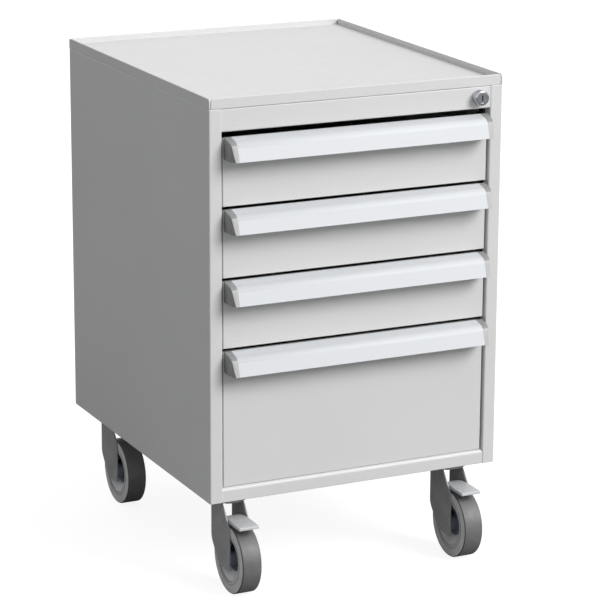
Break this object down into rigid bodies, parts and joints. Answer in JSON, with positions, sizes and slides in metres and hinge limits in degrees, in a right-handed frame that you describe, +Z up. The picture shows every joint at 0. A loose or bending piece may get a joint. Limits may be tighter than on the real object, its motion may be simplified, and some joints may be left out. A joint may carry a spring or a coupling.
{
  "type": "drawer cabinet",
  "caption": "Mobile sheet-steel drawer cabinet on swivel casters, with a rimmed top tray, full-width hooded handles, telescopic drawers and a cam lock that lifts a locking bar.",
  "frame": {"origin": "on the floor under the middle of the rectangle of ground that the cabinet covers, casters trailing to the front", "axes": "+Z up, +Y from the drawer fronts to the back, +X to the right as seen from the front"},
  "size_m": [0.45, 0.5534, 0.713],
  "materials": {
    "cabinet_paint": "light grey powder coat, satin, fine orange peel",
    "handle_aluminium": "extruded, satin anodised",
    "cap_plastic": "moulded, fine texture",
    "chrome": "polished plate",
    "zinc_steel": "bright zinc plate",
    "caster_steel": "grey stove enamel",
    "grey_rubber": "grey elastic rubber, matt",
    "hub_plastic": "moulded polyamide",
    "pedal_plastic": "moulded, light grey"
  },
  "bodies": {
    "cabinet": {"side_panel_left": "cabinet_paint", "side_panel_right": "cabinet_paint", "back_panel": "cabinet_paint", "base_panel": "cabinet_paint", "top_rail": "cabinet_paint", "bottom_rail": "cabinet_paint", "top_tray": "cabinet_paint", "runner_uprights": "cabinet_paint", "cabinet_rails": "zinc_steel", "lock_housing": "chrome", "lock_nut": "zinc_steel", "lock_bar_guides": "zinc_steel", "caster_plates": "caster_steel", "king_pins": "zinc_steel", "caster_bolts": "zinc_steel"},
    "lock_plug": {"lock_plug": "chrome", "lock_cam": "zinc_steel"},
    "locking_bar": {"locking_bar": "zinc_steel"},
    "drawer_1": {"drawer_front_1": "cabinet_paint", "drawer_box_1": "cabinet_paint", "handle_1": "handle_aluminium", "handle_caps_1": "cap_plastic", "drawer_rails_1": "zinc_steel"},
    "middle_rails_1": {"middle_rails_1": "zinc_steel"},
    "drawer_2": {"drawer_front_2": "cabinet_paint", "drawer_box_2": "cabinet_paint", "handle_2": "handle_aluminium", "handle_caps_2": "cap_plastic", "drawer_rails_2": "zinc_steel"},
    "middle_rails_2": {"middle_rails_2": "zinc_steel"},
    "drawer_3": {"drawer_front_3": "cabinet_paint", "drawer_box_3": "cabinet_paint", "handle_3": "handle_aluminium", "handle_caps_3": "cap_plastic", "drawer_rails_3": "zinc_steel"},
    "middle_rails_3": {"middle_rails_3": "zinc_steel"},
    "drawer_4": {"drawer_front_4": "cabinet_paint", "drawer_box_4": "cabinet_paint", "handle_4": "handle_aluminium", "handle_caps_4": "cap_plastic", "drawer_rails_4": "zinc_steel"},
    "middle_rails_4": {"middle_rails_4": "zinc_steel"},
    "fork_front_left": {"caster_fork_front_left": "caster_steel", "axle_front_left": "caster_steel"},
    "wheel_front_left": {"tyre_front_left": "grey_rubber", "wheel_hub_front_left": "hub_plastic"},
    "pedal_front_left": {"brake_pedal_front_left": "pedal_plastic"},
    "fork_front_right": {"caster_fork_front_right": "caster_steel", "axle_front_right": "caster_steel"},
    "wheel_front_right": {"tyre_front_right": "grey_rubber", "wheel_hub_front_right": "hub_plastic"},
    "pedal_front_right": {"brake_pedal_front_right": "pedal_plastic"},
    "fork_rear_left": {"caster_fork_rear_left": "caster_steel", "axle_rear_left": "caster_steel"},
    "wheel_rear_left": {"tyre_rear_left": "grey_rubber", "wheel_hub_rear_left": "hub_plastic"},
    "fork_rear_right": {"caster_fork_rear_right": "caster_steel", "axle_rear_right": "caster_steel"},
    "wheel_rear_right": {"tyre_rear_right": "grey_rubber", "wheel_hub_rear_right": "hub_plastic"}
  },
  "joints": [
    {"name": "lock_turn", "type": "hinge", "parent": "cabinet", "child": "lock_plug", "pos_m": [0.1875, -0.24325, 0.683], "axis": [0, -1, 0], "range_deg": [0, 90]},
    {"name": "locking_bar_lift", "type": "slide", "parent": "cabinet", "child": "locking_bar", "axis": [0, 0, 1], "range_m": [0, 0.01414]},
    {"name": "drawer_slide_1", "type": "slide", "parent": "cabinet", "child": "drawer_1", "axis": [0, -1, 0], "range_m": [0, 0.42]},
    {"name": "middle_rail_slide_1", "type": "slide", "parent": "cabinet", "child": "middle_rails_1", "axis": [0, -1, 0], "range_m": [0, 0.21]},
    {"name": "drawer_slide_2", "type": "slide", "parent": "cabinet", "child": "drawer_2", "axis": [0, -1, 0], "range_m": [0, 0.42]},
    {"name": "middle_rail_slide_2", "type": "slide", "parent": "cabinet", "child": "middle_rails_2", "axis": [0, -1, 0], "range_m": [0, 0.21]},
    {"name": "drawer_slide_3", "type": "slide", "parent": "cabinet", "child": "drawer_3", "axis": [0, -1, 0], "range_m": [0, 0.42]},
    {"name": "middle_rail_slide_3", "type": "slide", "parent": "cabinet", "child": "middle_rails_3", "axis": [0, -1, 0], "range_m": [0, 0.21]},
    {"name": "drawer_slide_4", "type": "slide", "parent": "cabinet", "child": "drawer_4", "axis": [0, -1, 0], "range_m": [0, 0.42]},
    {"name": "middle_rail_slide_4", "type": "slide", "parent": "cabinet", "child": "middle_rails_4", "axis": [0, -1, 0], "range_m": [0, 0.21]},
    {"name": "swivel_front_left", "type": "hinge", "parent": "cabinet", "child": "fork_front_left", "pos_m": [-0.176, -0.19425, 0.141], "axis": [0, 0, 1], "continuous": true},
    {"name": "wheel_spin_front_left", "type": "hinge", "parent": "fork_front_left", "child": "wheel_front_left", "pos_m": [-0.176, -0.22675, 0.05], "axis": [1, 0, 0], "continuous": true},
    {"name": "brake_pedal_front_left", "type": "hinge", "parent": "fork_front_left", "child": "pedal_front_left", "pos_m": [-0.176, -0.21195, 0.1043], "axis": [-1, 0, 0], "range_deg": [0, 25]},
    {"name": "swivel_front_right", "type": "hinge", "parent": "cabinet", "child": "fork_front_right", "pos_m": [0.176, -0.19425, 0.141], "axis": [0, 0, 1], "continuous": true},
    {"name": "wheel_spin_front_right", "type": "hinge", "parent": "fork_front_right", "child": "wheel_front_right", "pos_m": [0.176, -0.22675, 0.05], "axis": [1, 0, 0], "continuous": true},
    {"name": "brake_pedal_front_right", "type": "hinge", "parent": "fork_front_right", "child": "pedal_front_right", "pos_m": [0.176, -0.21195, 0.1043], "axis": [-1, 0, 0], "range_deg": [0, 25]},
    {"name": "swivel_rear_left", "type": "hinge", "parent": "cabinet", "child": "fork_rear_left", "pos_m": [-0.176, 0.22775, 0.141], "axis": [0, 0, 1], "continuous": true},
    {"name": "wheel_spin_rear_left", "type": "hinge", "parent": "fork_rear_left", "child": "wheel_rear_left", "pos_m": [-0.176, 0.19525, 0.05], "axis": [1, 0, 0], "continuous": true},
    {"name": "swivel_rear_right", "type": "hinge", "parent": "cabinet", "child": "fork_rear_right", "pos_m": [0.176, 0.22775, 0.141], "axis": [0, 0, 1], "continuous": true},
    {"name": "wheel_spin_rear_right", "type": "hinge", "parent": "fork_rear_right", "child": "wheel_rear_right", "pos_m": [0.176, 0.19525, 0.05], "axis": [1, 0, 0], "continuous": true}
  ],
  "couplings": [
    {"joint": "lock_turn", "follows": "locking_bar_lift", "rad_per_m": 111.07},
    {"joint": "middle_rail_slide_1", "follows": "drawer_slide_1", "ratio": 0.5},
    {"joint": "middle_rail_slide_2", "follows": "drawer_slide_2", "ratio": 0.5},
    {"joint": "middle_rail_slide_3", "follows": "drawer_slide_3", "ratio": 0.5},
    {"joint": "middle_rail_slide_4", "follows": "drawer_slide_4", "ratio": 0.5}
  ]
}
